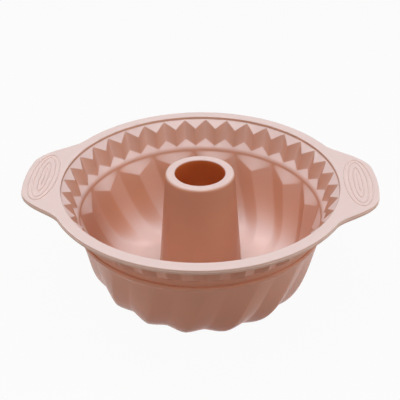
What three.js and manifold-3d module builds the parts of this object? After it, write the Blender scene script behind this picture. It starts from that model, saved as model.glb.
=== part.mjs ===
// Round silicone ring-cake mould: a flat rim with two grips and a steel wire inside it, a pleated
// collar, a bowl of twisted flutes and a tapered chimney. Millimetres, +Z up, the grips along X.
// The origin is the centre of the base, on the surface that the mould stands on.
import * as THREE from "three";
import { mergeVertices } from "three/addons/utils/BufferGeometryUtils.js";
import Module from "manifold-3d";

// Driving dimensions of the whole mould
const RIM_HEIGHT = 100.8; // base to flange top
const RIM_RADIUS = 123.2; // outside of the round flange
const WALL = 2.2; // silicone wall of the bowl and the collar

// Rim flange
const FLANGE_WIDTH = 9.5;
const FLANGE_THICK = 4.4;
const FLANGE_EDGE_ROUND = 2;
const FLANGE_LIP_ROUND = 1; // inner top edge
const STEP_DEPTH = 2.6; // drop from the flange top to the collar's shelf
const SECTION_SEAM = 0.05; // gap where two round sections of the moulding meet

// Grips: lobes that reach out of the flange, with oval anti-slip ribs on top
const GRIP_REACH = 21.8;
const GRIP_TIP_WIDTH = 47; // width over which the lobe keeps its full reach
const GRIP_ROOT_WIDTH = 125; // width where the lobe leaves the round flange
const GRIP_SPLIT = 2.8; // from the flange's inner edge to the plane where a grip section starts
const OVAL_LENGTHS = [71, 62.5, 46]; // of the nested ribs, the outer one first
const OVAL_WIDTHS = [22.4, 14.5, 6.6];
const BAR_LENGTH = 27; // of the straight rib in the middle of the ovals
const OVAL_EDGE = 4.5; // from the lobe's tip to the outer oval
const OVAL_RIB_WIDTH = 1.3;
const OVAL_RIB_TOP = 0.6;
const OVAL_RIB_HEIGHT = 0.5;
const OVAL_RIB_ROOT = 0.3; // depth to which a rib grows out of the grip

// Stiffening wire inside the rim and the grips
const WIRE_DIAMETER = 2;
const WIRE_INSET = 5; // from the rim's outline to the wire's centre
const WIRE_CLEARANCE = 0.3;

// Pleated collar: a zigzag band whose ends are cut by sloping facets
const PLEATS = 36;
const COLLAR_LEDGE = 2.1; // from the flange's inner edge to the pleats' outer corners
const COLLAR_LEDGE_DROP = 0.1;
const PLEAT_DEPTH = 5.5;
const PLEAT_TOP_DROP = 6.2; // slope of the upper facets
const PLEAT_LENGTH = 16.9; // height of a pleat's outer corner line
const PLEAT_DRAFT = 4.7; // how far that line leans in
const PLEAT_FOOT_DEPTH = 4.6;
const PLEAT_FOOT_DROP = 5;
const BEAD_DROP = 0.8; // from the pleats' foot to the rounded bead inside
const BEAD_SETBACK = 0.3;
const BEAD_CROWN_DROP = 2;
const BEAD_PROUD = 1.6;
const GROOVE_DROP = 4.2; // from the bead's upper edge to the groove line
const GROOVE_PROUD = 1.6; // inside wall at the groove line, in from the bead's upper edge
const RIDGE_PROUD = 2.4; // ring ridges outside, above and below the groove
const RIDGE_DROP = 2.8;
const COLLAR_NECK = 0.6; // outside, drop of the pleats from the flange's underside
const COLLAR_NECK_INSET = 0.4;

// Fluted bowl
const FLUTES = 16;
const FLUTE_PHASE = 6; // degrees from +X to a flute's outer line at the top
const FLUTE_TWIST = 17.5; // degrees that a flute turns on its way down, clockwise from above
const FLUTE_TWIST_POWER = 1.19; // the turn is gentler near the top
const FLUTE_SOFTENING = 2; // the crisp flutes turn into waves late on their way down
const FLUTE_INSIDE_DEPTH = 6.6;
const FLUTE_LEDGE_DROP = 8.6; // slope of the facets that close the flutes at the top
const FLUTE_OUTSIDE_DEPTH = 1.2; // at the top: outside, the flutes grow out of a round wall
const FLUTE_FOOT_DEPTH = 4.8;
const FLUTE_SETBACK = 0.2; // inside, from the groove line to the flutes' outer corners
const FLUTE_DROP = 2.2;
const FLUTE_OUTSIDE_DROP = 1.6; // outside, the flutes start a little lower
const BELLY_HEIGHT = 38; // height of the profile's upper handle
const BELLY_INSET = 7.8;
const BELLY_VALLEY_INSET = 9.4;
const HAUNCH_INSET = 5.8; // profile's lower handle, on the base plane
const HAUNCH_VALLEY_INSET = 12.2;
const BASE_RADIUS = 62.7; // outside of the flat base, on a flute's outer line

// Chimney
const CHIMNEY_RISE = 6.4; // top of the chimney above the flange
const CHIMNEY_TOP_RADIUS = 28.4;
const CHIMNEY_DRAFT = 0.0805; // widening for each millimetre down
const CHIMNEY_WALL = 3;
const CHIMNEY_HOLE_RADIUS = 20.6;
const CHIMNEY_LIP = 4; // thickness of the top ring
const CHIMNEY_LIP_SLOPE = 5;
const CHIMNEY_ROUND = 2.2;
const CHIMNEY_HOLE_ROUND = 1.2;
const CHIMNEY_FOOT_FILLET = 7;

// Fineness of the facets
const RIM_PARTS = 2; // columns of the round flange beside one side of the collar
const GRIP_PARTS = 3; // and along the grips' outline
const FLUTE_STEPS = 6; // columns in one flute
const PROFILE_STEPS = 7; // rows down a flute
const CHIMNEY_SIDES = 48;
const WIRE_STEPS = 72;
const WIRE_SIDES = 8;
const OVAL_STEPS = 24;
const EDGE_STEPS = 2; // facets in the rounding of the flange's edge
const FILLET_STEPS = 2; // and in the fillet at the chimney's foot
const LIP_STEPS = 3; // and in the rounding of the chimney's top ring
const MERGE_DISTANCE = 1e-4; // points nearer than this are one point
const SLOPE_TURN = 1e-4; // turn, in radians, over which the outline's slope is taken
const CUT_MARGIN = 1; // how far a cutting box reaches past the rim

// Sizes that follow from the driving dimensions
const flangeInner = RIM_RADIUS - FLANGE_WIDTH;
const flangeUnder = RIM_HEIGHT - FLANGE_THICK;
const shelf = RIM_HEIGHT - STEP_DEPTH;
const chimneyTop = RIM_HEIGHT + CHIMNEY_RISE;
const tipRadius = RIM_RADIUS + GRIP_REACH;
const gripPlane = flangeInner + GRIP_SPLIT;
const tipAngle = Math.asin(GRIP_TIP_WIDTH / 2 / tipRadius);
const rootAngle = Math.asin(GRIP_ROOT_WIDTH / 2 / RIM_RADIUS);
const pleatTop = { r: flangeInner - COLLAR_LEDGE, z: shelf - COLLAR_LEDGE_DROP };
const pleatFoot = { r: pleatTop.r - PLEAT_DRAFT, z: pleatTop.z - PLEAT_LENGTH };
const pleatTopRidge = { r: pleatTop.r - PLEAT_DEPTH, z: pleatTop.z - PLEAT_TOP_DROP };
const pleatFootRidge = {
  r: pleatFoot.r - PLEAT_FOOT_DEPTH,
  z: pleatFoot.z - PLEAT_FOOT_DROP,
};
const bead = { r: pleatFootRidge.r - BEAD_SETBACK, z: pleatFootRidge.z - BEAD_DROP };
const groovePlane = bead.z - GROOVE_DROP; // where the collar meets the bowl
const grooveInner = bead.r - GROOVE_PROUD;
const grooveOuter = grooveInner + WALL;
const fluteTop = { r: grooveInner - FLUTE_SETBACK, z: groovePlane - FLUTE_DROP };
const floor = WALL;
const chimneyRadius = (z) => CHIMNEY_TOP_RADIUS + CHIMNEY_DRAFT * (chimneyTop - z);
const chimneyFoot = floor + CHIMNEY_FOOT_FILLET; // plane where the chimney meets the bowl

const wasm = await Module();
wasm.setup();

// A closed geometry as a solid that can be joined and cut
function solidOf(geometry) {
  const bare = geometry.clone();
  bare.deleteAttribute("normal");
  bare.deleteAttribute("uv");
  const merged = mergeVertices(bare, MERGE_DISTANCE);
  return new wasm.Manifold(
    new wasm.Mesh({
      numProp: 3,
      vertProperties: new Float32Array(merged.attributes.position.array),
      triVerts: new Uint32Array(merged.index.array),
    }),
  );
}

// A solid as a geometry
function geometryOf(solid) {
  const { vertProperties, triVerts } = solid.getMesh();
  const geometry = new THREE.BufferGeometry();
  geometry.setAttribute("position", new THREE.BufferAttribute(vertProperties, 3));
  geometry.setIndex(new THREE.BufferAttribute(triVerts, 1));
  geometry.computeVertexNormals();
  return geometry;
}

// Skins a closed loop of rows, each a closed ring of as many points, into one ring-shaped body
function ringLoft(rows) {
  const count = rows[0].length;
  const index = [];
  rows.forEach((row, j) => {
    const next = (j + 1) % rows.length;
    for (let i = 0; i < count; i += 1) {
      const k = (i + 1) % count;
      const [a, b] = [j * count + i, j * count + k];
      const [c, d] = [next * count + k, next * count + i];
      index.push(a, b, d, b, c, d);
    }
  });
  const geometry = new THREE.BufferGeometry();
  geometry.setAttribute("position", new THREE.Float32BufferAttribute(rows.flat(2), 3));
  geometry.setIndex(index);
  geometry.computeVertexNormals();
  return geometry;
}

// A box between two corners, as a solid
function boxBetween(low, high) {
  const size = high.map((value, axis) => value - low[axis]);
  const geometry = new THREE.BoxGeometry(...size);
  geometry.translate(...low.map((value, axis) => value + size[axis] / 2));
  return solidOf(geometry);
}

const polar = (r, angle, z) => [r * Math.cos(angle), r * Math.sin(angle), z];
const circle = (angles, r, z) => angles.map((angle) => polar(r, angle, z));
const mix = (from, to, share) => from + (to - from) * share;
const degrees = THREE.MathUtils.degToRad;

// Triangle wave, 0 at whole numbers and 1 half way between
const zigzag = (x) => 1 - Math.abs(2 * (x - Math.floor(x)) - 1);

// Equal shares from 0 to 1, both ends included
const sharesOf = (steps) => Array.from({ length: steps + 1 }, (_, i) => i / steps);

// Quarter circle that starts level and turns down: how far it has come at a share of its turn
const arcPoint = (radius, share) => ({
  along: radius * Math.sin((share * Math.PI) / 2),
  down: radius * (1 - Math.cos((share * Math.PI) / 2)),
});

// Angle from the nearer grip's middle line
function gripAngle(angle) {
  return Math.abs(Math.asin(Math.sin(angle)));
}

// Outline of the rim seen from above: a circle that swells into the two grips
function rimOutline(angle) {
  const swell = 1 - THREE.MathUtils.smoothstep(gripAngle(angle), tipAngle, rootAngle);
  return RIM_RADIUS + GRIP_REACH * swell;
}

// The rim's outline drawn in by an inset, square to its edge
function rimPoint(angle, inset, z) {
  const r = rimOutline(angle);
  const rise = rimOutline(angle + SLOPE_TURN) - rimOutline(angle - SLOPE_TURN);
  const slope = rise / (2 * SLOPE_TURN);
  const normal = new THREE.Vector2(r, -slope).normalize().multiplyScalar(inset);
  const [x, y] = [r - normal.x, -normal.y];
  return [
    x * Math.cos(angle) - y * Math.sin(angle),
    x * Math.sin(angle) + y * Math.cos(angle),
    z,
  ];
}

// Columns of the rim: some beside each side of the collar, and more along the grips
function rimAngles() {
  const side = Math.PI / PLEATS;
  const angles = [];
  for (let i = 0; i < 2 * PLEATS; i += 1) {
    const inGrip = gripAngle((i + 0.5) * side) < rootAngle + side;
    const parts = inGrip ? GRIP_PARTS : RIM_PARTS;
    for (let part = 0; part < parts; part += 1) {
      angles.push((i + part / parts) * side);
    }
  }
  return angles;
}

// Radius of the collar's many-sided outline at any angle, so that the flange meets its flat sides
function collarRadius(r, angle) {
  const half = Math.PI / PLEATS / 2;
  const within = angle - Math.floor(angle / (2 * half)) * 2 * half - half;
  return (r * Math.cos(half)) / Math.cos(within);
}

// The wire's path, all the way round the rim and through both grips
function wirePath() {
  const points = [];
  for (let i = 0; i < WIRE_STEPS; i += 1) {
    const angle = (i / WIRE_STEPS) * 2 * Math.PI;
    const z = RIM_HEIGHT - FLANGE_THICK / 2;
    points.push(new THREE.Vector3(...rimPoint(angle, WIRE_INSET, z)));
  }
  return new THREE.CatmullRomCurve3(points, true);
}

function wireTube(radius) {
  return new THREE.TubeGeometry(wirePath(), WIRE_STEPS, radius, WIRE_SIDES, true);
}

// The rim with both grips and the channel for the wire, before it is parted into sections
function rimPlate() {
  const angles = rimAngles();
  const inner = (extra, z) =>
    angles.map((angle) => polar(collarRadius(flangeInner, angle) + extra, angle, z));
  const outer = (inset, z) => angles.map((angle) => rimPoint(angle, inset, z));
  const rows = [inner(0, flangeUnder)];
  const edge = sharesOf(EDGE_STEPS);
  edge.forEach((share) => {
    const { along, down } = arcPoint(FLANGE_EDGE_ROUND, share);
    rows.push(outer(FLANGE_EDGE_ROUND - along, flangeUnder + down));
  });
  edge.toReversed().forEach((share) => {
    const { along, down } = arcPoint(FLANGE_EDGE_ROUND, share);
    rows.push(outer(FLANGE_EDGE_ROUND - along, RIM_HEIGHT - down));
  });
  rows.push(inner(FLANGE_LIP_ROUND, RIM_HEIGHT));
  rows.push(inner(0, RIM_HEIGHT - FLANGE_LIP_ROUND));
  const channel = wireTube(WIRE_DIAMETER / 2 + WIRE_CLEARANCE);
  return solidOf(ringLoft(rows)).subtract(solidOf(channel));
}

// Outer flank of an anti-slip rib, from its root to its top
const ribFlank = [
  { out: OVAL_RIB_WIDTH / 2, z: -OVAL_RIB_ROOT },
  { out: OVAL_RIB_WIDTH / 2, z: 0 },
  { out: OVAL_RIB_TOP / 2, z: OVAL_RIB_HEIGHT },
];

// An oval ring of points round a rib's middle line, centred on the origin of its grip
function ovalRow(length, width, { out, z }) {
  return Array.from({ length: OVAL_STEPS }, (_, i) => {
    const turn = (i / OVAL_STEPS) * 2 * Math.PI;
    return [(width / 2 + out) * Math.cos(turn), (length / 2 + out) * Math.sin(turn), z];
  });
}

// One oval rib
function ovalRib(length, width) {
  const innerFlank = ribFlank.map(({ out, z }) => ({ out: -out, z })).toReversed();
  const rows = [...ribFlank, ...innerFlank].map((point) => ovalRow(length, width, point));
  return solidOf(ringLoft(rows));
}

// The straight rib
function barRib() {
  return wasm.Manifold.hull(ribFlank.flatMap((point) => ovalRow(BAR_LENGTH, 0, point)));
}

// A grip section: the part of the rim beyond the grip plane, with its ribs
function gripSolid(plate, side) {
  const far = tipRadius + CUT_MARGIN;
  const low = [side > 0 ? gripPlane : -far, -far, 0];
  const high = [side > 0 ? far : -gripPlane, far, RIM_HEIGHT + CUT_MARGIN];
  let grip = plate.intersect(boxBetween(low, high));
  const centre = side * (tipRadius - OVAL_EDGE - OVAL_WIDTHS[0] / 2);
  const ovals = OVAL_LENGTHS.map((length, i) => ovalRib(length, OVAL_WIDTHS[i]));
  [...ovals, barRib()].forEach((rib) => {
    grip = grip.add(rib.translate([centre, 0, RIM_HEIGHT]));
  });
  return grip;
}

// The round flange between the two grip planes
function flangeSolid(plate) {
  const far = tipRadius + CUT_MARGIN;
  const top = RIM_HEIGHT + CUT_MARGIN;
  return plate.intersect(boxBetween([-gripPlane, -far, 0], [gripPlane, far, top]));
}

// The pleated collar: its inside runs from the shelf down to the groove, its outside back up
function collarGeometry() {
  const columns = 2 * PLEATS;
  const angles = Array.from({ length: columns }, (_, i) => (i / columns) * 2 * Math.PI);
  const pleated = (outer, inner) =>
    angles.map((angle) => {
      const share = zigzag((angle / (2 * Math.PI)) * PLEATS);
      return polar(mix(outer.r, inner.r, share), angle, mix(outer.z, inner.z, share));
    });
  const outside = (point) => ({ r: point.r + WALL, z: point.z - WALL / 2 });
  const seat = flangeInner - SECTION_SEAM;
  const neck = { r: seat - COLLAR_NECK_INSET, z: flangeUnder - COLLAR_NECK };
  const rows = [
    circle(angles, seat, shelf),
    pleated(pleatTop, pleatTopRidge),
    pleated(pleatFoot, pleatFootRidge),
    circle(angles, bead.r, bead.z),
    circle(angles, bead.r - BEAD_PROUD, bead.z - BEAD_CROWN_DROP),
    circle(angles, grooveInner, groovePlane),
    circle(angles, grooveOuter, groovePlane),
    circle(angles, grooveOuter + RIDGE_PROUD, groovePlane + RIDGE_DROP),
    pleated(outside(pleatFoot), outside(pleatFootRidge)),
    pleated(neck, outside(pleatTopRidge)),
    circle(angles, seat, flangeUnder),
  ];
  return ringLoft(rows);
}

// Profile of a flute from its top to its foot on the base, as a curve in (radius, height)
function fluteProfile(top, belly, haunch, foot, base) {
  return new THREE.CubicBezierCurve(
    new THREE.Vector2(top.r, top.z),
    new THREE.Vector2(belly, BELLY_HEIGHT),
    new THREE.Vector2(haunch, base),
    new THREE.Vector2(foot, base),
  );
}

// The fluted bowl: inside from the groove down to the chimney's foot, then outside back up
function bowlGeometry() {
  const columns = FLUTES * FLUTE_STEPS;
  const turned = (share) =>
    Array.from({ length: columns }, (_, i) => {
      const turn = degrees(FLUTE_TWIST) * share ** FLUTE_TWIST_POWER;
      return degrees(FLUTE_PHASE) + (i / columns) * 2 * Math.PI - turn;
    });
  // A row of the flutes: from the outer line's profile to the valley line's and back
  const fluted = (lobe, valley, share) => {
    const [a, b] = [lobe.getPoint(share), valley.getPoint(share)];
    return turned(share).map((angle, i) => {
      const sharp = zigzag(i / FLUTE_STEPS);
      const soft = 0.5 - 0.5 * Math.cos(Math.PI * sharp);
      const wave = mix(sharp, soft, share ** FLUTE_SOFTENING);
      return polar(mix(a.x, b.x, wave), angle, mix(a.y, b.y, wave));
    });
  };
  const outerTop = { r: fluteTop.r + WALL, z: fluteTop.z - FLUTE_OUTSIDE_DROP };
  const valleyTop = {
    r: outerTop.r - FLUTE_OUTSIDE_DEPTH,
    z: outerTop.z - FLUTE_OUTSIDE_DROP,
  };
  const ledgeFoot = {
    r: fluteTop.r - FLUTE_INSIDE_DEPTH,
    z: fluteTop.z - FLUTE_LEDGE_DROP,
  };
  const valleyBase = BASE_RADIUS - FLUTE_FOOT_DEPTH;
  const profile = (top, wall, belly, haunch, foot) => {
    const [bellyRadius, haunchRadius] = [outerTop.r - wall - belly, outerTop.r - wall - haunch];
    return fluteProfile(top, bellyRadius, haunchRadius, foot, wall ? floor : 0);
  };
  const lobeOut = profile(outerTop, 0, BELLY_INSET, HAUNCH_INSET, BASE_RADIUS);
  const valleyOut = profile(valleyTop, 0, BELLY_VALLEY_INSET, HAUNCH_VALLEY_INSET, valleyBase);
  const lobeIn = profile(fluteTop, WALL, BELLY_INSET, HAUNCH_INSET, BASE_RADIUS);
  const valleyIn = profile(
    ledgeFoot, WALL, BELLY_VALLEY_INSET + WALL, HAUNCH_VALLEY_INSET, valleyBase,
  );
  const shares = sharesOf(PROFILE_STEPS);
  const foot = turned(1);
  const side = chimneyRadius(chimneyFoot);
  const fillet = (share, from, lift) => {
    const { along, down } = arcPoint(CHIMNEY_FOOT_FILLET, share);
    return circle(foot, from - along, lift + down);
  };
  const bore = side - CHIMNEY_WALL;
  const filletShares = sharesOf(FILLET_STEPS).slice(0, -1);
  const filletRows = (radius, lift) =>
    filletShares.map((share) => fillet(share, radius + CHIMNEY_FOOT_FILLET, lift));
  const rows = [
    circle(turned(0), grooveInner, groovePlane),
    ...shares.map((share) => fluted(lobeIn, valleyIn, share)),
    ...filletRows(side, floor),
    circle(foot, side, chimneyFoot),
    circle(foot, bore, chimneyFoot),
    ...filletRows(bore, 0).toReversed(),
    ...shares.toReversed().map((share) => fluted(lobeOut, valleyOut, share)),
    circle(turned(0), grooveOuter + RIDGE_PROUD, groovePlane - RIDGE_DROP),
    circle(turned(0), grooveOuter, groovePlane),
  ];
  return ringLoft(rows);
}

// The chimney: a tapered tube, open at both ends, with a thick ring at its top
function chimneyGeometry() {
  const point = (r, z) => new THREE.Vector2(r, z);
  const bore = (z) => chimneyRadius(z) - CHIMNEY_WALL;
  const lipUnder = chimneyTop - CHIMNEY_LIP;
  const slopeFoot = lipUnder - CHIMNEY_LIP_SLOPE;
  const outside = sharesOf(LIP_STEPS).map((share) => {
    const { along, down } = arcPoint(CHIMNEY_ROUND, 1 - share);
    return point(CHIMNEY_TOP_RADIUS - CHIMNEY_ROUND + along, chimneyTop - down);
  });
  const profile = [
    point(chimneyRadius(chimneyFoot), chimneyFoot),
    ...outside,
    point(CHIMNEY_HOLE_RADIUS + CHIMNEY_HOLE_ROUND, chimneyTop),
    point(CHIMNEY_HOLE_RADIUS, chimneyTop - CHIMNEY_HOLE_ROUND),
    point(CHIMNEY_HOLE_RADIUS, lipUnder),
    point(bore(slopeFoot), slopeFoot),
    point(bore(chimneyFoot), chimneyFoot),
  ];
  profile.push(profile[0].clone());
  return new THREE.LatheGeometry(profile, CHIMNEY_SIDES).rotateX(Math.PI / 2);
}

const silicone = () =>
  new THREE.MeshStandardMaterial({ color: "#d9a18d", roughness: 0.45, metalness: 0 });
const steel = () =>
  new THREE.MeshStandardMaterial({ color: "#b9bcc0", roughness: 0.3, metalness: 1 });

const mould = new THREE.Group();
mould.name = "ring_cake_mould";

function addPiece(name, geometry, material) {
  const mesh = new THREE.Mesh(geometry, material);
  mesh.name = name;
  mould.add(mesh);
}

const plate = rimPlate();
addPiece("rim_flange", geometryOf(flangeSolid(plate)), silicone());
addPiece("left_grip", geometryOf(gripSolid(plate, -1)), silicone());
addPiece("right_grip", geometryOf(gripSolid(plate, 1)), silicone());
addPiece("rim_wire", wireTube(WIRE_DIAMETER / 2), steel());
addPiece("pleated_collar", collarGeometry(), silicone());
addPiece("fluted_bowl", bowlGeometry(), silicone());
addPiece("chimney", chimneyGeometry(), silicone());

export default mould;
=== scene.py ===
"""Looks of a round silicone ring-cake mould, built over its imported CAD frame.

The mould is one casting, so one closed skin stands for all its silicone sections. The skin is a loop
of rows: from the chimney's top ring down to the floor, up the flutes and the pleats, over the rim,
down the outside to the base, and up the chimney's bore. The oval grip ribs lie on the rim, and the
steel wire inside the rim keeps its CAD shape.
"""
from __future__ import annotations

import logging
import math
from dataclasses import dataclass
from enum import Enum

import bpy
import numpy as np
from mathutils import Matrix, Vector


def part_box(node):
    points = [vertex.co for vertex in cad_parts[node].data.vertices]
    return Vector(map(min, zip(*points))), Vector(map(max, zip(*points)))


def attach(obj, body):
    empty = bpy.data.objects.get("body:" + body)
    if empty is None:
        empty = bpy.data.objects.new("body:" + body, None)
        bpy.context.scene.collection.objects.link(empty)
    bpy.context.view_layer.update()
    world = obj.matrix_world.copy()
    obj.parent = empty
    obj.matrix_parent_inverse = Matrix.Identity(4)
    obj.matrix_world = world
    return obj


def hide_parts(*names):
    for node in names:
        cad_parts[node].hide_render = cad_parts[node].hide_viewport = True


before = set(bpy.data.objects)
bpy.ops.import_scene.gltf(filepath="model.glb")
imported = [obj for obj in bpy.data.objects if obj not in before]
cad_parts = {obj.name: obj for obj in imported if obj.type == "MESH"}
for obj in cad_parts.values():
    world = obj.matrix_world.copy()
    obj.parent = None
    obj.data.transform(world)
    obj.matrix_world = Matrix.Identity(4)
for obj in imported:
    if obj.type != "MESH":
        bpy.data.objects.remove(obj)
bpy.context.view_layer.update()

LOG = logging.getLogger("ring_cake_mould")

MM = 0.001
BODY = "root"

# Columns round the skin: a multiple of twice the pleats and of twice the flutes
COLUMNS = 576
FILLET_STEPS = 4
# The most that a fillet takes of the shorter span beside it
FILLET_SHARE = 0.45

WHITE = (1.0, 1.0, 1.0)
# A vector times this is the vector without its height
LEVEL_PART = (1.0, 1.0, 0.0)

Colour = tuple[float, float, float]
Point = tuple[float, float, float]
Span = tuple[float, float]
Values = np.ndarray | float
Material = bpy.types.Material
Tree = bpy.types.NodeTree
Node = bpy.types.Node
Socket = bpy.types.NodeSocket


class WallFace(Enum):
    """Which face of the silicone wall a row lies on."""

    INSIDE = "inside"
    OUTSIDE = "outside"


class FluteLine(Enum):
    """The two lines of a flute: the one far from the axis, and the one near it."""

    OUTER = "outer"
    INNER = "inner"


class Side(Enum):
    """The two grips, by the sign of their X."""

    LEFT = -1
    RIGHT = 1


@dataclass(frozen=True)
class SectionPoint:
    """A point of the mould's cross-section: distance from the axis and height, in metres."""

    r: float
    z: float

    def moved(self, dr: float, dz: float) -> SectionPoint:
        """The point moved out by dr and up by dz."""
        return SectionPoint(self.r + dr, self.z + dz)


@dataclass
class SkinRow:
    """One closed row of the skin, with the size of the fillet that rounds the skin along it."""

    points: np.ndarray
    fillet: float = 0.0


def polar(radius: Values, angles: np.ndarray, z: Values) -> np.ndarray:
    """Points at the given distances from the axis, angles and heights.

    Args:
        radius: one distance, or one for each angle.
        angles: the columns' angles in radians.
        z: one height, or one for each angle.

    Returns:
        An array of one point for each angle.
    """
    heights = np.broadcast_to(z, angles.shape)
    return np.stack([radius * np.cos(angles), radius * np.sin(angles), heights], axis=1)


def circle(point: SectionPoint, angles: np.ndarray) -> np.ndarray:
    """The ring that a section point makes round the axis."""
    return polar(point.r, angles, point.z)


def mixed(start: Values, end: Values, share: Values) -> Values:
    """The value at a share of the way from start to end."""
    return start + (end - start) * share


def folded(outer: SectionPoint, inner: SectionPoint, angles: np.ndarray, form: np.ndarray) -> np.ndarray:
    """A row that swings between two section points.

    Args:
        outer: the point where the form is 0.
        inner: the point where the form is 1.
        angles: the columns' angles in radians.
        form: the wave that the row follows, one value for each column.

    Returns:
        The row's points.
    """
    return polar(mixed(outer.r, inner.r, form), angles, mixed(outer.z, inner.z, form))


def on_curve(handles: list[SectionPoint], share: float) -> SectionPoint:
    """A point of a cubic curve in the mould's cross-section.

    Args:
        handles: the curve's four handles.
        share: 0 at the first handle, 1 at the last.

    Returns:
        The point.
    """
    left = 1 - share
    weights = (left**3, 3 * share * left**2, 3 * share**2 * left, share**3)
    r = sum(weight * handle.r for weight, handle in zip(weights, handles))
    z = sum(weight * handle.z for weight, handle in zip(weights, handles))
    return SectionPoint(r, z)


def softened(wave: np.ndarray, corner: float) -> np.ndarray:
    """A zigzag from 0 to 1 with its corners rounded off.

    Args:
        wave: the zigzag's values.
        corner: the share of each slope that the rounding takes.

    Returns:
        The rounded wave.
    """
    low = wave * wave / (2 * corner) + corner / 2
    high = 1 - ((1 - wave) ** 2 / (2 * corner) + corner / 2)
    return np.where(wave < corner, low, np.where(wave > 1 - corner, high, wave))


def fold_columns(folds: int, start: int, gathering: float) -> tuple[np.ndarray, np.ndarray]:
    """Columns of a folded wall, gathered towards the folds so that their edges come out crisp.

    Args:
        folds: how many folds go round the mould, each with an outer and an inner line.
        start: the column, counted from an outer line, that comes first.
        gathering: 0 for even columns, towards 1 for columns close to the folds.

    Returns:
        The columns' angles from the first outer line, and the zigzag, 0 on the outer lines and 1 on
        the inner lines.
    """
    slope = math.pi / folds
    per_slope = COLUMNS // (2 * folds)
    place = (np.arange(COLUMNS) + start) / per_slope
    whole = np.floor(place)
    part = place - whole
    part = part - gathering * np.sin(2 * math.pi * part) / (2 * math.pi)
    wave = np.where(whole % 2 == 0, part, 1 - part)
    return (whole + part) * slope, wave


@dataclass(frozen=True)
class FrameSizes:
    """Sizes that the CAD frame gives: the looks follow them."""

    rim_top: float
    rim_under: float
    rim_radius: float
    grip_tip: float
    chimney_top: float
    chimney_foot: SectionPoint
    groove_height: float

    @classmethod
    def read(cls) -> FrameSizes:
        """Measures the CAD nodes.

        Returns:
            The sizes in metres.
        """
        flange_low, flange_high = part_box("rim_flange")
        chimney_low, chimney_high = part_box("chimney")
        return cls(
            rim_top=flange_high.z,
            rim_under=flange_low.z,
            rim_radius=flange_high.y,
            grip_tip=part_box("right_grip")[1].x,
            chimney_top=chimney_high.z,
            chimney_foot=SectionPoint(chimney_high.x, chimney_low.z),
            groove_height=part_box("fluted_bowl")[1].z,
        )


@dataclass
class RimFlange:
    """The flat rim, which swells into the two grips and has a fine parting line along its edge."""

    sizes: FrameSizes
    width: float = 9.5 * MM
    edge_round: float = 2.0 * MM
    lip_round: float = 1.0 * MM
    grip_tip_width: float = 47 * MM
    grip_root_width: float = 125 * MM
    parting_ridge: float = 0.25 * MM
    parting_half: float = 0.35 * MM
    # Half of the turn, in radians, over which the outline's slope is measured
    slope_turn: float = 1e-4

    @property
    def inner_radius(self) -> float:
        """The flange's inner edge, where the step down to the collar is."""
        return self.sizes.rim_radius - self.width

    def reach(self) -> float:
        """Distance from the middle of the base to the flange's inner edge."""
        return math.hypot(self.inner_radius, self.sizes.rim_top)

    def angles(self) -> np.ndarray:
        """Even columns round the rim."""
        return np.arange(COLUMNS) * 2 * math.pi / COLUMNS

    def outline(self, angles: np.ndarray) -> np.ndarray:
        """The rim's edge: a circle that swells into the grips.

        Args:
            angles: the columns' angles in radians.

        Returns:
            The edge's distance from the axis at each angle.
        """
        from_grip = np.abs(np.arcsin(np.sin(angles)))
        tip = math.asin(self.grip_tip_width / 2 / self.sizes.grip_tip)
        root = math.asin(self.grip_root_width / 2 / self.sizes.rim_radius)
        share = np.clip((from_grip - tip) / (root - tip), 0, 1)
        swell = 1 - share * share * (3 - 2 * share)
        return mixed(self.sizes.rim_radius, self.sizes.grip_tip, swell)

    def edge(self, inset: float, z: float) -> np.ndarray:
        """The rim's outline drawn in by an inset, square to its edge.

        Args:
            inset: how far in, in metres; below 0 it stands proud.
            z: height of the row.

        Returns:
            The row's points.
        """
        angles = self.angles()
        turn = self.slope_turn
        r = self.outline(angles)
        slope = (self.outline(angles + turn) - self.outline(angles - turn)) / (2 * turn)
        length = np.hypot(r, slope)
        out = r - inset * r / length
        along = inset * slope / length
        x = out * np.cos(angles) - along * np.sin(angles)
        y = out * np.sin(angles) + along * np.cos(angles)
        return np.stack([x, y, np.full(COLUMNS, z)], axis=1)

    def rows(self) -> list[SkinRow]:
        """The rim from its inner lip over the top and the edge to the underside.

        Returns:
            The rows in that order.
        """
        top = self.sizes.rim_top
        under = self.sizes.rim_under
        middle = (top + under) / 2
        lip = SectionPoint(self.inner_radius, top)
        return [
            SkinRow(circle(lip, self.angles()), self.lip_round),
            SkinRow(self.edge(0, top), self.edge_round),
            SkinRow(self.edge(0, middle + self.parting_half)),
            SkinRow(self.edge(-self.parting_ridge, middle), self.parting_half),
            SkinRow(self.edge(0, middle - self.parting_half)),
            SkinRow(self.edge(0, under), self.edge_round),
        ]


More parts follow.
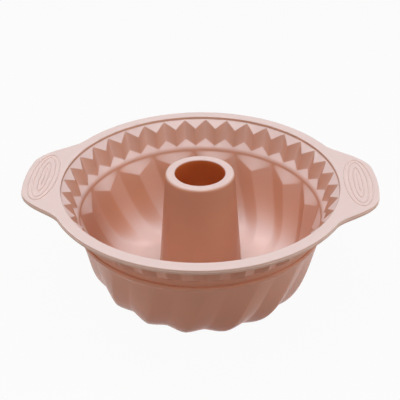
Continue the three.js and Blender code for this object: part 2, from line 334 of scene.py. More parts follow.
@dataclass
class PleatedCollar:
    """The band of sharp pleats under the rim, with sloping facets at both ends of each pleat."""

    sizes: FrameSizes
    flange: RimFlange
    wall: float = 2.2 * MM
    # Pleats
    pleats: int = 36
    step_depth: float = 2.6 * MM
    ledge: float = 0.4 * MM
    ledge_drop: float = 0.1 * MM
    depth: float = 7.2 * MM
    top_drop: float = 6.2 * MM
    length: float = 16.9 * MM
    draft: float = 6.4 * MM
    foot_depth: float = 4.6 * MM
    foot_drop: float = 5.0 * MM
    outside_foot_rise: float = 2.4 * MM
    gathering: float = 0.6
    inside_corner: float = 0.05
    outside_corner: float = 0.07
    inside_fillet: float = 0.5 * MM
    outside_fillet: float = 0.5 * MM
    # Bead and groove inside, under the pleats
    bead_drop: float = 0.8 * MM
    bead_setback: float = 0.5 * MM
    bead_fillet: float = 1.0 * MM
    crown_proud: float = 1.0 * MM
    crown_drop: float = 2.0 * MM
    crown_fillet: float = 1.8 * MM
    groove_proud: float = 1.4 * MM
    # Neck outside, under the flange
    seat_out: float = 1.4 * MM
    neck_inset: float = 0.4 * MM
    neck_drop: float = 0.6 * MM
    neck_fillet: float = 1.2 * MM
    # The two rings outside, and the channel between them
    ring_proud: float = 1.9 * MM
    ring_rise: float = 4.6 * MM
    ring_height: float = 3.2 * MM
    channel_depth: float = 2.3 * MM
    channel_width: float = 3.2 * MM
    channel_taper: float = 0.5 * MM
    lower_ring_inset: float = 0.7 * MM
    lower_ring_height: float = 2.5 * MM
    lower_ring_flare: float = 0.3 * MM
    ring_fillet: float = 0.5 * MM

    @property
    def shelf(self) -> float:
        """Height of the shelf at the foot of the flange's step."""
        return self.sizes.rim_top - self.step_depth

    def angles(self) -> np.ndarray:
        """Columns gathered at the pleats' corners."""
        return fold_columns(self.pleats, 0, self.gathering)[0]

    def top(self) -> SectionPoint:
        """Upper end of a pleat's outer line."""
        return SectionPoint(self.flange.inner_radius - self.ledge, self.shelf - self.ledge_drop)

    def top_ridge(self) -> SectionPoint:
        """Upper end of a pleat's inner line."""
        return self.top().moved(-self.depth, -self.top_drop)

    def foot(self) -> SectionPoint:
        """Lower end of a pleat's outer line."""
        return self.top().moved(-self.draft, -self.length)

    def foot_ridge(self) -> SectionPoint:
        """Lower end of a pleat's inner line."""
        return self.foot().moved(-self.foot_depth, -self.foot_drop)

    def bead(self) -> SectionPoint:
        """Upper edge of the rounded bead under the pleats."""
        return self.foot_ridge().moved(-self.bead_setback, -self.bead_drop)

    def groove(self, face: WallFace) -> SectionPoint:
        """The line where the collar turns into the bowl."""
        out = self.wall if face is WallFace.OUTSIDE else 0.0
        return SectionPoint(self.bead().r - self.groove_proud + out, self.sizes.groove_height)

    def ring(self) -> SectionPoint:
        """Upper edge of the ring that ends the pleats outside."""
        return self.groove(WallFace.OUTSIDE).moved(self.ring_proud, self.ring_rise)

    def channel(self) -> list[SectionPoint]:
        """The narrow channel between the two rings outside, and the lower ring.

        Returns:
            The section's points, from the upper ring's lower edge down.
        """
        edge = self.ring().moved(0, -self.ring_height)
        lower = edge.moved(-self.lower_ring_inset, -self.channel_width)
        return [
            edge,
            edge.moved(-self.channel_depth, -self.channel_taper),
            lower.moved(self.lower_ring_inset - self.channel_depth, self.channel_taper),
            lower,
            lower.moved(self.lower_ring_flare, -self.lower_ring_height),
        ]

    def pleated(self, outer: SectionPoint, inner: SectionPoint, corner: float) -> np.ndarray:
        """A zigzag row between two section points.

        Args:
            outer: the point on the pleats' outer lines.
            inner: the point on the pleats' inner lines.
            corner: how much of each slope the rounded corner takes.

        Returns:
            The row's points.
        """
        angles, wave = fold_columns(self.pleats, 0, self.gathering)
        return folded(outer, inner, angles, softened(wave, corner))

    def inside_rows(self) -> list[SkinRow]:
        """The inside, from the bead up to the step under the flange's lip.

        Returns:
            The rows in that order.
        """
        angles = self.angles()
        crown = self.bead().moved(-self.crown_proud, -self.crown_drop)
        step = SectionPoint(self.flange.inner_radius, self.shelf)
        corner = self.inside_corner
        return [
            SkinRow(circle(crown, angles), self.crown_fillet),
            SkinRow(circle(self.bead(), angles), self.bead_fillet),
            SkinRow(self.pleated(self.foot(), self.foot_ridge(), corner), self.inside_fillet),
            SkinRow(self.pleated(self.top(), self.top_ridge(), corner), self.inside_fillet),
            SkinRow(circle(step, angles), self.inside_fillet),
        ]

    def outside_rows(self) -> list[SkinRow]:
        """The outside, from the flange's underside down to the ring that ends the pleats.

        Returns:
            The rows in that order.
        """
        angles = self.angles()
        seat = SectionPoint(self.flange.inner_radius + self.seat_out, self.sizes.rim_under)
        neck = seat.moved(-self.neck_inset, -self.neck_drop)
        out = self.wall
        down = -self.wall / 2
        corner = self.outside_corner
        upper = self.pleated(neck, self.top_ridge().moved(out, down), corner)
        foot_ridge = self.foot_ridge().moved(out, down + self.outside_foot_rise)
        lower = self.pleated(self.foot().moved(out, down), foot_ridge, corner)
        return [
            SkinRow(circle(seat, angles), self.neck_fillet),
            SkinRow(upper, self.outside_fillet),
            SkinRow(lower, self.outside_fillet),
            SkinRow(circle(self.ring(), angles), self.ring_fillet),
        ]


@dataclass
class FlutedBowl:
    """The bowl of twisted flutes, sharp at the top and melting into the floor."""

    collar: PleatedCollar
    flutes: int = 16
    phase: float = math.radians(6)
    twist: float = math.radians(17.5)
    twist_power: float = 1.19
    # Tops of the flutes
    setback: float = 0.2 * MM
    drop: float = 2.2 * MM
    inside_depth: float = 6.6 * MM
    ledge_drop: float = 8.6 * MM
    ledge_fillet: float = 0.8 * MM
    outside_depth: float = 1.6 * MM
    outside_drop: float = 2.6 * MM
    outside_swell: float = 0.8 * MM
    # How far the inner lines lean at their tops outside, as a share of a flute
    outside_lean: float = 0.12
    # Curves from the tops to the base
    belly_height: float = 38 * MM
    belly_inset: float = 7.8 * MM
    inner_belly_inset: float = 9.4 * MM
    haunch_inset: float = 5.8 * MM
    inner_haunch_inset: float = 12.2 * MM
    base_radius: float = 62.7 * MM
    foot_depth: float = 4.8 * MM
    # Edges of the flutes, and how late they melt on the way down
    gathering: float = 0.5
    corner: float = 0.06
    melt_power: float = 2.0
    profile_steps: int = 44

    @property
    def wall(self) -> float:
        """Thickness of the silicone wall and of the floor."""
        return self.collar.wall

    def top(self) -> SectionPoint:
        """Upper end of a flute's outer line, inside."""
        return self.collar.groove(WallFace.INSIDE).moved(-self.setback, -self.drop)

    def outside_top(self) -> SectionPoint:
        """Upper end of a flute's outer line, outside."""
        return self.top().moved(self.wall + self.outside_swell, -self.outside_drop)

    def columns(self, share: float) -> tuple[np.ndarray, np.ndarray]:
        """Columns of the flutes at a share of the way down.

        Args:
            share: 0 at the flutes' tops, 1 at the floor.

        Returns:
            The columns' angles, and the zigzag, 0 on the flutes' outer lines and 1 on the inner lines.
        """
        slope = math.pi / self.flutes
        per_slope = COLUMNS // (2 * self.flutes)
        start = -round(self.phase / slope * per_slope)
        angles, wave = fold_columns(self.flutes, start, self.gathering)
        return angles + self.phase - self.twist * share**self.twist_power, wave

    def profile(self, face: WallFace, line: FluteLine) -> list[SectionPoint]:
        """Handles of the curve that a flute's line follows from its top to the base.

        Args:
            face: the wall's face.
            line: the flute's outer or inner line.

        Returns:
            The four handles of a cubic curve.
        """
        inside = face is WallFace.INSIDE
        inner = line is FluteLine.INNER
        base = self.wall if inside else 0.0
        rim = self.top().r + (0.0 if inside else self.wall)
        belly = self.inner_belly_inset if inner else self.belly_inset
        haunch = self.inner_haunch_inset if inner else self.haunch_inset
        foot = self.base_radius - (self.foot_depth if inner else 0.0)
        top = self.top() if inside else self.outside_top()
        if inner and inside:
            top = top.moved(-self.inside_depth, -self.ledge_drop)
            belly += self.wall
        elif inner:
            top = top.moved(-self.outside_depth, -self.outside_drop)
        return [
            top,
            SectionPoint(rim - belly, self.belly_height),
            SectionPoint(rim - haunch, base),
            SectionPoint(foot, base),
        ]

    def fluted(self, face: WallFace, share: float) -> np.ndarray:
        """A row of the flutes at a share of the way down.

        Args:
            face: the wall's face.
            share: 0 at the flutes' tops, 1 at the floor.

        Returns:
            The row's points.
        """
        angles, wave = self.columns(share)
        if face is WallFace.OUTSIDE:
            flute = 2 * math.pi / self.flutes
            angles = angles - self.outside_lean * flute * wave * (1 - share)
        rounded = (1 - np.cos(math.pi * wave)) / 2
        form = mixed(softened(wave, self.corner), rounded, share**self.melt_power)
        outer = on_curve(self.profile(face, FluteLine.OUTER), share)
        inner = on_curve(self.profile(face, FluteLine.INNER), share)
        return folded(outer, inner, angles, form)

    def inside_rows(self) -> list[SkinRow]:
        """The inside, from the floor up to the groove under the collar's bead.

        Returns:
            The rows in that order.
        """
        shares = np.linspace(1, 0, self.profile_steps + 1)
        rows = [SkinRow(self.fluted(WallFace.INSIDE, share)) for share in shares]
        rows[-1].fillet = self.ledge_fillet
        groove = circle(self.collar.groove(WallFace.INSIDE), self.columns(0)[0])
        return [*rows, SkinRow(groove, self.ledge_fillet)]

    def outside_rows(self) -> list[SkinRow]:
        """The outside, from the channel between the rings down to the flat base.

        Returns:
            The rows in that order.
        """
        angles = self.columns(0)[0]
        shares = np.linspace(0, 1, self.profile_steps + 1)
        return [
            *[SkinRow(circle(point, angles), self.collar.ring_fillet) for point in self.collar.channel()],
            *[SkinRow(self.fluted(WallFace.OUTSIDE, share)) for share in shares],
        ]


@dataclass
class Chimney:
    """The tapered tube in the middle, open at both ends, with a thick ring at its top."""

    sizes: FrameSizes
    bowl: FlutedBowl
    top_radius: float = 28.4 * MM
    wall: float = 3.0 * MM
    hole_radius: float = 20.6 * MM
    neck_height: float = 4.0 * MM
    neck_taper: float = 60.0 * MM
    top_round: float = 2.2 * MM
    hole_round: float = 1.2 * MM
    neck_round: float = 1.0 * MM
    foot_fillet: float = 7.0 * MM

    def radius(self, z: float) -> float:
        """The tapered outside at a height."""
        foot = self.sizes.chimney_foot
        return mixed(foot.r, self.top_radius, (z - foot.z) / (self.sizes.chimney_top - foot.z))

    def ring(self, r: float, z: float, fillet: float) -> SkinRow:
        """A round row in the columns of the flutes' feet."""
        return SkinRow(circle(SectionPoint(r, z), self.bowl.columns(1)[0]), fillet)

    def top_rows(self) -> list[SkinRow]:
        """The top ring, and the side down to the floor.

        Returns:
            The rows in that order.
        """
        top = self.sizes.chimney_top
        floor = self.bowl.wall
        return [
            self.ring(self.hole_radius, top, self.hole_round),
            self.ring(self.top_radius, top, self.top_round),
            self.ring(self.radius(floor), floor, self.foot_fillet),
        ]

    def bore_rows(self) -> list[SkinRow]:
        """The bore, from the base up to the neck under the top ring.

        Returns:
            The rows in that order.
        """
        neck = self.sizes.chimney_top - self.neck_height
        taper_foot = neck - self.neck_taper
        return [
            self.ring(self.radius(0) - self.wall, 0, self.foot_fillet),
            self.ring(self.radius(taper_foot) - self.wall, taper_foot, self.neck_round),
            self.ring(self.hole_radius, neck, self.neck_round),
        ]


def mesh_of_loops(name: str, loops: list[np.ndarray]) -> bpy.types.Object:
    """A smooth mesh of closed ring-shaped bodies.

    Args:
        name: name of the piece.
        loops: for each body, its rows, each a closed ring of points, where the last row joins the first.

    Returns:
        The linked object.
    """
    points = []
    faces = []
    first = 0
    for rows in loops:
        count, columns, _ = rows.shape
        index = first + np.arange(count * columns).reshape(count, columns)
        across = np.roll(index, -1, axis=1)
        quads = np.stack([index, np.roll(index, -1, axis=0), np.roll(across, -1, axis=0), across], axis=-1)
        points.append(rows.reshape(-1, 3))
        faces.append(quads.reshape(-1, 4))
        first += count * columns
    mesh = bpy.data.meshes.new(name)
    mesh.from_pydata(np.concatenate(points).tolist(), [], np.concatenate(faces).tolist())
    mesh.polygons.foreach_set("use_smooth", [True] * len(mesh.polygons))
    mesh.update()
    piece = bpy.data.objects.new(name, mesh)
    bpy.context.scene.collection.objects.link(piece)
    return piece


def dress(piece: bpy.types.Object, material: Material, nodes: tuple[str, ...]) -> None:
    """Gives a silicone piece its finish and its body, and hides the CAD nodes that it stands for.

    Args:
        piece: the new piece.
        material: its finish.
        nodes: CAD nodes that it replaces.
    """
    piece.data.materials.append(material)
    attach(piece, BODY)
    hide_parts(*nodes)
    LOG.info("%s: %d faces", piece.name, len(piece.data.polygons))


@dataclass
class MouldSkin:
    """The whole silicone casting as one closed skin."""

    flange: RimFlange
    collar: PleatedCollar
    bowl: FlutedBowl
    chimney: Chimney
    nodes: tuple[str, ...] = ("rim_flange", "pleated_collar", "fluted_bowl", "chimney")
    longest_span: float = 2.5 * MM

    def corner_rows(self) -> list[SkinRow]:
        """All rows in order round the section, before fillets.

        Returns:
            The rows, where the last one joins the first.
        """
        return [
            *self.chimney.top_rows(),
            *self.bowl.inside_rows(),
            *self.collar.inside_rows(),
            *self.flange.rows(),
            *self.collar.outside_rows(),
            *self.bowl.outside_rows(),
            *self.chimney.bore_rows(),
        ]

    def rounded(self, before: np.ndarray, row: SkinRow, after: np.ndarray) -> list[np.ndarray]:
        """A row turned into the rows of its fillet.

        Args:
            before: points of the row before it.
            row: the row to round.
            after: points of the row after it.

        Returns:
            The fillet's rows, or the row itself where it has no fillet.
        """
        if not row.fillet:
            return [row.points]
        back = before - row.points
        ahead = after - row.points
        back_length = np.linalg.norm(back, axis=1, keepdims=True)
        ahead_length = np.linalg.norm(ahead, axis=1, keepdims=True)
        cut = np.minimum(row.fillet, FILLET_SHARE * np.minimum(back_length, ahead_length))
        start = row.points + back / back_length * cut
        end = row.points + ahead / ahead_length * cut
        shares = np.linspace(0, 1, FILLET_STEPS + 1)
        return [(1 - s) ** 2 * start + 2 * s * (1 - s) * row.points + s * s * end for s in shares]

    def loop(self) -> np.ndarray:
        """The rows with their fillets, and with long spans divided.

        Returns:
            An array of rows of points.
        """
        corners = self.corner_rows()
        rows: list[np.ndarray] = []
        for place, row in enumerate(corners):
            before = corners[place - 1].points
            after = corners[(place + 1) % len(corners)].points
            rows += self.rounded(before, row, after)
        divided = []
        for place, row in enumerate(rows):
            after = rows[(place + 1) % len(rows)]
            span = np.linalg.norm(after - row, axis=1).max()
            parts = max(1, math.ceil(span / self.longest_span))
            divided += [mixed(row, after, part / parts) for part in range(parts)]
        return np.array(divided)

    def build(self, material: Material) -> None:
        """The skin as one mesh, dressed in its finish."""
        dress(mesh_of_loops("silicone_moulding", [self.loop()]), material, self.nodes)


@dataclass
class GripRibs:
    """The nested oval ribs that keep a hand from slipping on a grip."""

    sizes: FrameSizes
    side: Side
    lengths: tuple[float, ...] = (71 * MM, 62.5 * MM, 46 * MM)
    widths: tuple[float, ...] = (22.4 * MM, 14.5 * MM, 6.6 * MM)
    edge: float = 4.5 * MM
    rib_width: float = 1.3 * MM
    rib_height: float = 0.7 * MM
    rib_root: float = 0.4 * MM
    steps: int = 160
    section_steps: int = 8
    # The straight rib in the middle is a very narrow oval that closes along its seam
    bar_length: float = 27 * MM
    bar_core: float = 0.1 * MM
    bar_seam: float = 0.01 * MM

    @property
    def name(self) -> str:
        """The grip's name."""
        return f"{self.side.name.lower()}_grip"

    def section(self) -> list[SectionPoint]:
        """A rib's section: a rounded top on a straight root.

        Returns:
            The section's points, measured from the rib's middle line.
        """
        half = self.rib_width / 2
        turns = np.linspace(0, math.pi, self.section_steps + 1)
        top = [SectionPoint(half * math.cos(t), self.rib_height * math.sin(t)) for t in turns]
        return [SectionPoint(half, -self.rib_root), *top, SectionPoint(-half, -self.rib_root)]

    def ring(self, length: float, width: float, point: SectionPoint) -> np.ndarray:
        """An oval row round a rib's middle line.

        Args:
            length: length of the middle line's oval.
            width: width of that oval.
            point: place of the row in the rib's section.

        Returns:
            The row's points.
        """
        turns = np.arange(self.steps) * 2 * math.pi / self.steps
        centre = self.side.value * (self.sizes.grip_tip - self.edge - self.widths[0] / 2)
        x = centre + (width / 2 + point.r) * np.cos(turns)
        y = (length / 2 + point.r) * np.sin(turns)
        return np.stack([x, y, np.full(self.steps, self.sizes.rim_top + point.z)], axis=1)

    def bar(self, section: list[SectionPoint]) -> np.ndarray:
        """The straight rib in the middle of the ovals.

        Args:
            section: a rib's section.

        Returns:
            An array of rows of points.
        """
        flank = section[: len(section) // 2 + 1]
        middle = self.bar_seam - self.bar_core
        seam = [SectionPoint(middle, self.rib_height), SectionPoint(middle, -self.rib_root)]
        return np.array([self.ring(self.bar_length, 2 * self.bar_core, point) for point in (*flank, *seam)])

    def build(self, material: Material) -> None:
        """All ribs of one grip as one mesh, dressed in its finish.

        Args:
            material: the silicone's finish.
        """
        section = self.section()
        loops = []
        for length, width in zip(self.lengths, self.widths):
            loops.append(np.array([self.ring(length, width, point) for point in section]))
        loops.append(self.bar(section))
        dress(mesh_of_loops(f"{self.name}_ribs", loops), material, (self.name,))


@dataclass
class RimWire:
    """The steel wire inside the rim and the grips, which keeps its CAD shape."""

    node: str = "rim_wire"

    def dress(self, material: Material) -> None:
        """Gives the CAD wire its finish.

        Args:
            material: the wire's finish.
        """
        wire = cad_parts[self.node]
        wire.data.materials.clear()
        wire.data.materials.append(material)
        LOG.info("%s: CAD shape kept", wire.name)


def feed(tree: Tree, entry: Socket, value: Socket | Colour | float) -> None:
    """Gives one input of a node its value.

    Args:
        tree: the node tree.
        entry: the input.
        value: a socket to link, or a number, vector or colour to set.
    """
    if isinstance(value, Socket):
        tree.links.new(value, entry)
    elif isinstance(value, tuple):
        entry.default_value = (*value, 1)[: len(entry.default_value)]
    else:
        entry.default_value = value


def set_inputs(tree: Tree, node: Node, **inputs: Socket | Colour | float) -> None:
    """Gives some inputs of a node their values.

    Args:
        tree: the node tree.
        node: the node.
        inputs: values by input name, with an underscore for each space.
    """
    for name, value in inputs.items():
        feed(tree, node.inputs[name.replace("_", " ")], value)


def shader_node(tree: Tree, kind: str, **inputs: Socket | Colour | float) -> Node:
    """A new node with some of its inputs set.

    Args:
        tree: the node tree.
        kind: the node's type name.
        inputs: values by input name, with an underscore for each space.

    Returns:
        The new node.
    """
    node = tree.nodes.new(kind)
    set_inputs(tree, node, **inputs)
    return node


def number(tree: Tree, operation: str, first: Socket | float, second: Socket | float) -> Socket:
    """Two numbers combined, and kept between 0 and 1.

    Args:
        tree: the node tree.
        operation: name of the operation.
        first: the first number.
        second: the second number.

    Returns:
        The result's socket.
    """
    node = tree.nodes.new("ShaderNodeMath")
    node.operation = operation
    node.use_clamp = True
    feed(tree, node.inputs[0], first)
    feed(tree, node.inputs[1], second)
    return node.outputs["Value"]


def vector_math(tree: Tree, operation: str, *vectors: Socket | Point) -> Node:
    """An operation on vectors.

    Args:
        tree: the node tree.
        operation: name of the operation.
        vectors: its one or two vectors.

    Returns:
        The node that works it out.
    """
    node = tree.nodes.new("ShaderNodeVectorMath")
    node.operation = operation
    for entry, vector in zip(node.inputs, vectors):
        feed(tree, entry, vector)
    return node


def ramp(
    tree: Tree, value: Socket, span: Span, start: Socket | float, end: Socket | float, smooth: bool = False
) -> Socket:
    """A number that goes from start to end while a value crosses a span.

    Args:
        tree: the node tree.
        value: the value.
        span: the value's range.
        start: the number below the span.
        end: the number above it.
        smooth: True to ease in and out.

    Returns:
        The number's socket.
    """
    low, high = span
    node = shader_node(
        tree, "ShaderNodeMapRange", Value=value, From_Min=low, From_Max=high, To_Min=start, To_Max=end
    )
    node.interpolation_type = "SMOOTHSTEP" if smooth else "LINEAR"
    return node.outputs["Result"]


def noise(tree: Tree, place: Socket, scale: float, detail: float) -> Socket:
    """A cloudy pattern of numbers round a half."""
    return shader_node(tree, "ShaderNodeTexNoise", Vector=place, Scale=scale, Detail=detail).outputs["Fac"]


def mixed_colour(tree: Tree, factor: Socket, first: Socket | Colour, second: Socket | Colour) -> Socket:
    """Two colours mixed by a factor.

    Args:
        tree: the node tree.
        factor: 0 for the first colour, 1 for the second.
        first: the first colour.
        second: the second colour.

    Returns:
        The mixed colour's socket.
    """
    blend = tree.nodes.new("ShaderNodeMix")
    blend.data_type = "RGBA"
    set_inputs(tree, blend, Factor=factor, A=first, B=second)
    return blend.outputs["Result"]


def mixed_surface(tree: Tree, factor: Socket, first: Socket, second: Socket) -> None:
    """Makes a material's surface of two shaders.

    Args:
        tree: the material's node tree.
        factor: 0 for the first shader, 1 for the second.
        first: the first shader.
        second: the second shader.
    """
    blend = tree.nodes.new("ShaderNodeMixShader")
    for entry, source in zip(blend.inputs, (factor, first, second)):
        tree.links.new(source, entry)
    tree.links.new(blend.outputs["Shader"], tree.nodes["Material Output"].inputs["Surface"])


def new_material(name: str) -> tuple[Material, Tree, Node]:
    """An empty node material with a principled shader.

    Args:
        name: name of the finish.

    Returns:
        The material, its node tree and its shader.
    """
    material = bpy.data.materials.new(name)
    material.use_nodes = True
    tree = material.node_tree
    return material, tree, tree.nodes["Principled BSDF"]


@dataclass(frozen=True)
class SurfaceReading:
    """Sockets that tell where a spot of the surface is and which way it looks.

    The radius is its distance from the mould's axis, and the reach its distance from the middle of the
    base. Upward is how much its normal points up. Outward is how much the normal points away from the
    axis, times the radius, and is below 0 on faces that look at the axis.
    """

    place: Socket
    radius: Socket
    reach: Socket
    upward: Socket
    outward: Socket

    @classmethod
    def of(cls, tree: Tree) -> SurfaceReading:
        """Makes the sockets.

        Args:
            tree: the material's node tree.

        Returns:
            The reading.
        """
        coordinates = tree.nodes.new("ShaderNodeTexCoord")
        place = coordinates.outputs["Object"]
        normal = coordinates.outputs["Normal"]
        level = vector_math(tree, "MULTIPLY", place, LEVEL_PART).outputs["Vector"]
        return cls(
            place=place,
            radius=vector_math(tree, "LENGTH", level).outputs["Value"],
            reach=vector_math(tree, "LENGTH", place).outputs["Value"],
            upward=shader_node(tree, "ShaderNodeSeparateXYZ", Vector=normal).outputs["Z"],
            outward=vector_math(tree, "DOT_PRODUCT", level, normal).outputs["Value"],
        )


@dataclass(frozen=True)
class SiliconeFinish:
    """Satin pink silicone that lets some light through, with a fine mould grain, a painted pale sheen on
    faces that look up and painted shade in the chimney's bore.
    """

    colour: Colour = (0.80, 0.465, 0.312)
    mottle: float = 0.04
    mottle_scale: float = 28.0
    mottle_detail: float = 3.0
    roughness: Span = (0.18, 0.23)
    specular: float = 0.34
    refraction: float = 1.43
    grain_height: float = 0.02 * MM
    grain_strength: float = 0.25
    grain_scale: float = 1600.0
    grain_detail: float = 2.0
    # Painted shade: a deep orange in the chimney's bore, by radius and by how much a face looks at the
    # axis, stands in for the shade there and the light that comes through the silicone
    painted_bore_shade_colour: Colour = (0.66, 0.22, 0.07)
    painted_bore_shade_span: Span = (30 * MM, 32 * MM)
    painted_bore_shade_facing: Span = (-15 * MM, -5 * MM)
    # A painted sheen: a pale colour, most on faces that look up and a little all over the rim, stands in
    # for the light from above and its sheen; the outside walls lack it
    painted_sheen_colour: Colour = (0.89, 0.82, 0.87)
    painted_sheen: float = 0.6
    painted_sheen_span: Span = (0.0, 0.75)
    rim_painted_sheen: float = 0.1
    outward_span: Span = (5 * MM, 30 * MM)
    # The share of light that passes through the walls
    through_colour: Colour = (1.0, 0.38, 0.10)
    translucence: float = 0.30
    rim_translucence: float = 0.10
    # Less light passes where the painted sheen lies
    painted_sheen_translucence: float = 0.13
    rim_fade: float = 4.0 * MM

    def mottle_colour(self) -> Colour:
        """The slightly deeper tone of the mottling."""
        red, green, blue = (part * (1 - self.mottle) for part in self.colour)
        return red, green, blue

    def tone(self, tree: Tree, reading: SurfaceReading, mottle: Socket) -> Socket:
        """The silicone's colour: its own mottled tone, and painted shade in the bore.

        Args:
            tree: the material's node tree.
            reading: the surface's sockets.
            mottle: the mottling's pattern.

        Returns:
            The colour's socket.
        """
        mottled = mixed_colour(tree, mottle, self.colour, self.mottle_colour())
        # Painted shade: faces near the axis that look at it take the bore's deep orange
        inward = ramp(tree, reading.outward, self.painted_bore_shade_facing, 1.0, 0.0)
        bore = ramp(tree, reading.radius, self.painted_bore_shade_span, inward, 0.0)
        return mixed_colour(tree, bore, mottled, self.painted_bore_shade_colour)

    def painted_sheen_amount(self, tree: Tree, reading: SurfaceReading, rim: Span) -> Socket:
        """How much painted sheen a face has: most where it looks up, and a little all over the rim.

        Args:
            tree: the material's node tree.
            reading: the surface's sockets.
            rim: the reach over which the wall turns into the rim.

        Returns:
            The amount's socket.
        """
        outside = ramp(tree, reading.reach, rim, 0.0, self.painted_sheen)
        most = ramp(tree, reading.outward, self.outward_span, self.painted_sheen, outside)
        least = ramp(tree, reading.reach, rim, 0.0, self.rim_painted_sheen)
        return ramp(tree, reading.upward, self.painted_sheen_span, least, most, smooth=True)

    def clearness(self, tree: Tree, reading: SurfaceReading, rim: Span, painted_sheen: Socket) -> Socket:
        """The share of light that passes: less through the thick rim, and less under the painted sheen.

        Args:
            tree: the material's node tree.
            reading: the surface's sockets.
            rim: the reach over which the wall turns into the rim.
            painted_sheen: the amount of painted sheen.

        Returns:
            The share's socket.
        """
        by_rim = ramp(tree, reading.reach, rim, self.translucence, self.rim_translucence)
        by_painted_sheen = ramp(tree, painted_sheen, (0.0, self.painted_sheen), self.translucence, self.painted_sheen_translucence)
        return number(tree, "MINIMUM", by_rim, by_painted_sheen)

    def material(self, rim_reach: float) -> Material:
        """The finish as a node material.

        Args:
            rim_reach: distance from the middle of the base to the rim, which is thicker than the walls.

        Returns:
            The material.
        """
        material, tree, shader = new_material("pink_silicone")
        reading = SurfaceReading.of(tree)
        rim = (rim_reach - self.rim_fade, rim_reach)
        mottle = noise(tree, reading.place, self.mottle_scale, self.mottle_detail)
        grain = noise(tree, reading.place, self.grain_scale, self.grain_detail)
        bump = shader_node(
            tree, "ShaderNodeBump", Strength=self.grain_strength, Distance=self.grain_height, Height=grain
        )
        # Painted sheen: the base colour turns pale where faces look up
        painted_sheen = self.painted_sheen_amount(tree, reading, rim)
        set_inputs(
            tree,
            shader,
            Base_Color=mixed_colour(tree, painted_sheen, self.tone(tree, reading, mottle), self.painted_sheen_colour),
            Roughness=ramp(tree, mottle, (0.0, 1.0), *self.roughness),
            Normal=bump.outputs["Normal"],
            IOR=self.refraction,
            Specular_IOR_Level=self.specular,
        )
        through = shader_node(tree, "ShaderNodeBsdfTranslucent", Color=self.through_colour)
        clearness = self.clearness(tree, reading, rim, painted_sheen)
        mixed_surface(tree, clearness, shader.outputs["BSDF"], through.outputs["BSDF"])
        return material


@dataclass(frozen=True)
class WireFinish:
    """Drawn stainless wire with a fine speckle."""

    colour: Colour = (0.60, 0.61, 0.62)
    dark_colour: Colour = (0.46, 0.46, 0.47)
    roughness: Span = (0.22, 0.4)
    speckle_scale: float = 900.0
    speckle_detail: float = 4.0

    def material(self) -> Material:
        """The finish as a node material.

        Returns:
            The material.
        """
        material, tree, shader = new_material("drawn_steel")
        place = tree.nodes.new("ShaderNodeTexCoord").outputs["Object"]
        speckle = noise(tree, place, self.speckle_scale, self.speckle_detail)
        set_inputs(
            tree,
            shader,
            Base_Color=mixed_colour(tree, speckle, self.colour, self.dark_colour),
            Roughness=ramp(tree, speckle, (0.0, 1.0), *self.roughness),
            Metallic=1.0,
        )
        return material


@dataclass(frozen=True)
class SoftBox:
    """A studio light that is aimed at the mould and doesn't show in the picture."""

    name: str
    place: Point
    width: float
    height: float
    power: float
    aim: Point = (0.0, 0.0, 0.06)

    def build(self) -> None:
        """Links the light to the scene."""
        data = bpy.data.lights.new(self.name, "AREA")
        data.shape = "RECTANGLE"
        data.size = self.width
        data.size_y = self.height
        data.energy = self.power
        lamp = bpy.data.objects.new(self.name, data)
        lamp.location = self.place
        lamp.rotation_euler = (Vector(self.aim) - Vector(self.place)).to_track_quat("-Z", "Y").to_euler()
        lamp.visible_camera = False
        bpy.context.scene.collection.objects.link(lamp)


def showing_rays(tree: Tree) -> Socket:
    """Tells the rays that show the studio from those that light the mould.

    Args:
        tree: the node tree.

    Returns:
        The socket of 1 for a ray from the camera, off a gloss or through glass, and 0 for any other.
    """
    path = tree.nodes.new("ShaderNodeLightPath").outputs
    through_glass = number(tree, "SUBTRACT", path["Is Transmission Ray"], path["Is Diffuse Ray"])
    by_gloss_or_glass = number(tree, "ADD", path["Is Glossy Ray"], through_glass)
    return number(tree, "ADD", path["Is Camera Ray"], by_gloss_or_glass)


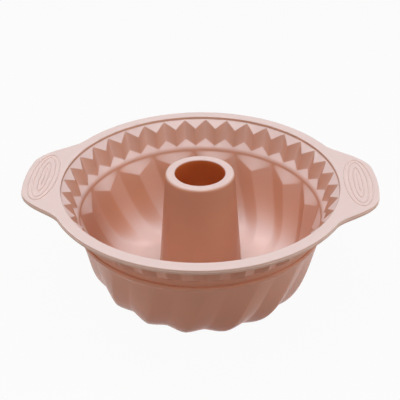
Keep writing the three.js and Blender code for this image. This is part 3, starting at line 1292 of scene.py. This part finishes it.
@dataclass
class Studio:
    """A pale floor, a white surround and soft lights."""

    floor_half: float = 4.0
    floor_colour: Colour = (0.37, 0.355, 0.345)
    floor_roughness: float = 0.9
    floor_white: float = 0.95
    lights: tuple[SoftBox, ...] = (
        SoftBox("overhead_softbox", place=(0.0, 0.0, 1.76), width=1.4, height=1.4, power=20.7),
        SoftBox("right_softbox", place=(1.5, 0.0, 0.86), width=0.8, height=0.8, power=6.0),
        SoftBox("left_softbox", place=(-1.3, 0.0, 1.15), width=0.8, height=0.8, power=3.0),
        SoftBox("front_softbox", place=(0.0, -1.2, 1.26), width=0.8, height=0.8, power=7.0),
        SoftBox("back_softbox", place=(-0.85, 0.85, 1.2), width=0.4, height=0.4, power=2.5),
        SoftBox("right_table_card", place=(0.7, 0.0, 0.04), width=0.5, height=0.075, power=0.75),
        SoftBox("left_table_card", place=(-0.65, -0.25, 0.04), width=0.5, height=0.075, power=0.55),
    )

    def floor_material(self) -> Material:
        """A pale finish that keeps the mould's shadow and shows as near white.

        Returns:
            The material.
        """
        material, tree, shader = new_material("pale_floor")
        set_inputs(
            tree,
            shader,
            Base_Color=self.floor_colour,
            Roughness=self.floor_roughness,
            Specular_IOR_Level=0.0,
        )
        white = shader_node(tree, "ShaderNodeEmission", Color=WHITE, Strength=1.0)
        share = number(tree, "MULTIPLY", showing_rays(tree), self.floor_white)
        mixed_surface(tree, share, shader.outputs["BSDF"], white.outputs["Emission"])
        return material

    def build_floor(self) -> None:
        """The floor that the mould stands on."""
        half = self.floor_half
        mesh = bpy.data.meshes.new("studio_floor")
        corners = [(-half, -half, 0), (half, -half, 0), (half, half, 0), (-half, half, 0)]
        mesh.from_pydata(corners, [], [(0, 1, 2, 3)])
        mesh.materials.append(self.floor_material())
        floor = bpy.data.objects.new("studio_floor", mesh)
        bpy.context.scene.collection.objects.link(floor)

    def build_world(self) -> None:
        """A surround that is white where it shows, and lights nothing."""
        world = bpy.data.worlds.new("white_surround")
        world.use_nodes = True
        tree = world.node_tree
        set_inputs(tree, tree.nodes["Background"], Color=WHITE, Strength=showing_rays(tree))
        bpy.context.scene.world = world

    def build(self) -> None:
        """Floor, surround and lights."""
        self.build_floor()
        self.build_world()
        for light in self.lights:
            light.build()


@dataclass(frozen=True)
class PhotoCamera:
    """The camera at the photograph's place and angle; its tilt is measured from level."""

    place: Point = (0.0294, -0.5759, 0.4483)
    heading: float = math.radians(2.94)
    tilt: float = math.radians(-32.54)
    roll: float = math.radians(-0.49)
    lens: float = 73.72
    sensor: float = 36.0

    def build(self) -> None:
        """Makes the camera and sets it as the scene's own."""
        data = bpy.data.cameras.new("photo_camera")
        data.lens = self.lens
        data.sensor_width = self.sensor
        camera = bpy.data.objects.new("photo_camera", data)
        from_straight_down = math.pi / 2 + self.tilt
        aim = Matrix.Rotation(self.heading, 4, "Z") @ Matrix.Rotation(from_straight_down, 4, "X")
        camera.matrix_world = Matrix.Translation(self.place) @ aim @ Matrix.Rotation(self.roll, 4, "Z")
        bpy.context.scene.collection.objects.link(camera)
        bpy.context.scene.camera = camera


def main() -> None:
    """Builds the camera, the mould in its finishes, and the studio."""
    logging.basicConfig(level=logging.INFO, format="%(message)s")
    bpy.context.scene.view_settings.view_transform = "Standard"
    PhotoCamera().build()
    sizes = FrameSizes.read()
    flange = RimFlange(sizes)
    collar = PleatedCollar(sizes, flange)
    bowl = FlutedBowl(collar)
    chimney = Chimney(sizes, bowl)
    silicone = SiliconeFinish().material(flange.reach())
    MouldSkin(flange, collar, bowl, chimney).build(silicone)
    for side in Side:
        GripRibs(sizes, side).build(silicone)
    RimWire().dress(WireFinish().material())
    Studio().build()


if __name__ == "__main__":
    main()
